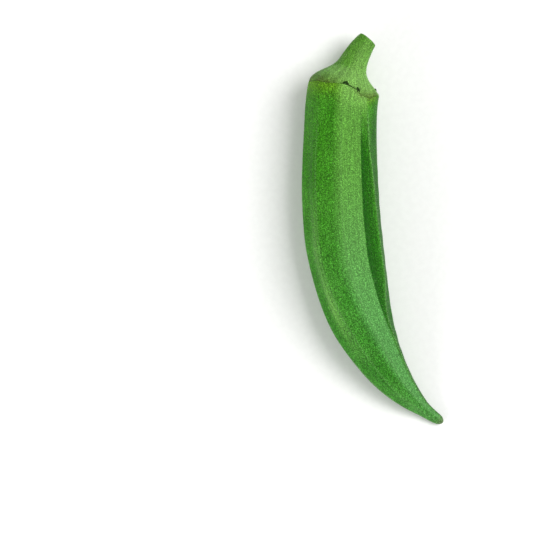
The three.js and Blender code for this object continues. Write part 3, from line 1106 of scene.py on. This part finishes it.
from_middle = attribute(tree, "from_middle")
cut_colour = blend(tree, remap(tree, from_middle, 0.45, 0.7), PITH, CUT_FIBRES)
cut_colour = blend(tree, remap(tree, from_middle, 0.86, 0.98), cut_colour, CUT_EDGE)
crumbly = use_group(tree, speckle, Vector=place, Scale=5200.0)
cut_colour = brighten(tree, cut_colour, remap(tree, crumbly, 0.0, 1.0, 0.7, 1.2))
colour = blend(tree, attribute(tree, "cut"), side_colour, cut_colour)
plug(tree, shader.inputs["Base Color"], colour)
plug(tree, shader.inputs["Roughness"], remap(tree, grain, 0.0, 1.0, 0.5, 0.64))
height = plus(tree, times(tree, lines, 0.6), times(tree, grain, 0.4))
plug(tree, shader.inputs["Normal"], bump(tree, height, 0.06 * MM))
shader.inputs["Specular IOR Level"].default_value = 0.06
cap_skin.data.materials.append(cap_flesh)
print(f"{cap_flesh.name}: {len(tree.nodes)} nodes")

# %% [markdown]
# ## Materials of scraps and hairs
#
# The dried scraps are nearly black, with dark green where they are thin. The hairs are
# pale and half clear, so a soft whitish green stands for them.

# %% Materials of scraps and hairs
DRIED = (0.006, 0.022, 0.003, 1.0)
DRIED_THIN = (0.030, 0.080, 0.011, 1.0)
HAIR_GREEN = (0.24, 0.48, 0.16, 1.0)
HAIR_PALE = (0.45, 0.62, 0.34, 1.0)

dried, tree, shader = new_material("dried_scraps")
place = object_place(tree)
crumbs = use_group(tree, speckle, Vector=place, Scale=4200.0)
plug(tree, shader.inputs["Base Color"], blend(tree, crumbs, DRIED, DRIED_THIN))
plug(tree, shader.inputs["Roughness"], remap(tree, crumbs, 0.0, 1.0, 0.75, 0.95))
plug(tree, shader.inputs["Normal"], bump(tree, crumbs, 0.08 * MM))
shader.inputs["Specular IOR Level"].default_value = 0.1
for piece in scraps:
    piece.data.materials.append(dried)

velvet, tree, shader = new_material("velvet_hairs")
place = object_place(tree)
mixed = use_group(tree, patches, Vector=place, Scale=900.0)
plug(tree, shader.inputs["Base Color"], blend(tree, mixed, HAIR_GREEN, HAIR_PALE))
plug(tree, shader.inputs["Roughness"], remap(tree, mixed, 0.0, 1.0, 0.5, 0.7))
for piece in (pod_hairs, cap_hairs):
    piece.data.materials.append(velvet)
print("materials:", [m.name for m in (pod_flesh, cap_flesh, dried, velvet)])

# %% [markdown]
# ## Joining the pieces to the solids
#
# The two skins stand for the two solids. A pod has no moving parts, so every piece rides
# on the same body.

# %% Join the pieces to the solids
object_pieces = [pod_skin, cap_skin, *scraps, pod_hairs, cap_hairs]
for piece in object_pieces:
    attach(piece, "root")
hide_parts("pod")
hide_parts("stem_cap")
print("pieces:", [piece.name for piece in object_pieces])

# %% [markdown]
# ## Floor
#
# The pod lies on a plain white floor, like matt paper with a faint tooth.

# %% Floor
FLOOR_SIZE = 3.0
PAPER_DARK = (0.90, 0.90, 0.89, 1.0)
PAPER_LIGHT = (0.92, 0.92, 0.91, 1.0)

bpy.ops.mesh.primitive_plane_add(size=FLOOR_SIZE, location=(0.0, 0.0, 0.0))
floor = bpy.context.object
floor.name = "floor"
paper, tree, shader = new_material("white_paper")
place = object_place(tree)
tooth = use_group(tree, patches, Vector=place, Scale=600.0)
plug(tree, shader.inputs["Base Color"], blend(tree, tooth, PAPER_DARK, PAPER_LIGHT))
shader.inputs["Roughness"].default_value = 0.95
shader.inputs["Specular IOR Level"].default_value = 0.1
floor.data.materials.append(paper)
print(f"floor {FLOOR_SIZE} m wide")

# %% [markdown]
# ## Light and camera
#
# A broad soft panel stands over one side, so that one flute shines softly and the next one
# doesn't. A weaker one fills the other side, and an even white sky does the rest. The
# camera looks straight down from far off through a long lens, which keeps the outline
# free of perspective.

# %% Light and camera
TURN = math.radians(-101.1)
TARGET = Vector((-5.73 * MM, 23.93 * MM, 10.0 * MM))
PICTURE_WIDTH = 148.8 * MM
CAMERA_HEIGHT = 0.9
SENSOR_WIDTH = 36.0
SKY_STRENGTH = 0.45
picture_right = Vector((math.cos(TURN), math.sin(TURN), 0.0))
picture_up = Vector((-math.sin(TURN), math.cos(TURN), 0.0))


def panel(name, right, up, height, size, power):
    """A square soft light at right and up across the picture and height above, facing the pod."""
    light = bpy.data.lights.new(name, "AREA")
    light.shape = "SQUARE"
    light.size = size
    light.energy = power
    lamp = add_object(name, light)
    lamp.location = picture_right * right + picture_up * up + Vector((0.0, 0.0, height))
    lamp.rotation_euler = (-lamp.location).to_track_quat("-Z", "Y").to_euler()
    return lamp


lights = [
    panel("key_panel", right=0.42, up=0.14, height=0.64, size=0.55, power=5.4),
    panel("left_fill", right=-0.42, up=-0.36, height=0.25, size=0.30, power=1.8),
]

world = bpy.data.worlds.new("white_sky")
world.use_nodes = True
background = world.node_tree.nodes["Background"]
background.inputs["Color"].default_value = (1.0, 1.0, 1.0, 1.0)
background.inputs["Strength"].default_value = SKY_STRENGTH
bpy.context.scene.world = world

camera = add_object("camera", bpy.data.cameras.new("camera"))
camera.location = TARGET + Vector((0.0, 0.0, CAMERA_HEIGHT))
camera.rotation_euler = (0.0, 0.0, TURN)
camera.data.sensor_width = SENSOR_WIDTH
camera.data.lens = SENSOR_WIDTH * CAMERA_HEIGHT / PICTURE_WIDTH
bpy.context.scene.camera = camera
bpy.context.scene.view_settings.view_transform = "Standard"
print(f"camera {CAMERA_HEIGHT} m up, lens {camera.data.lens:.0f} mm")
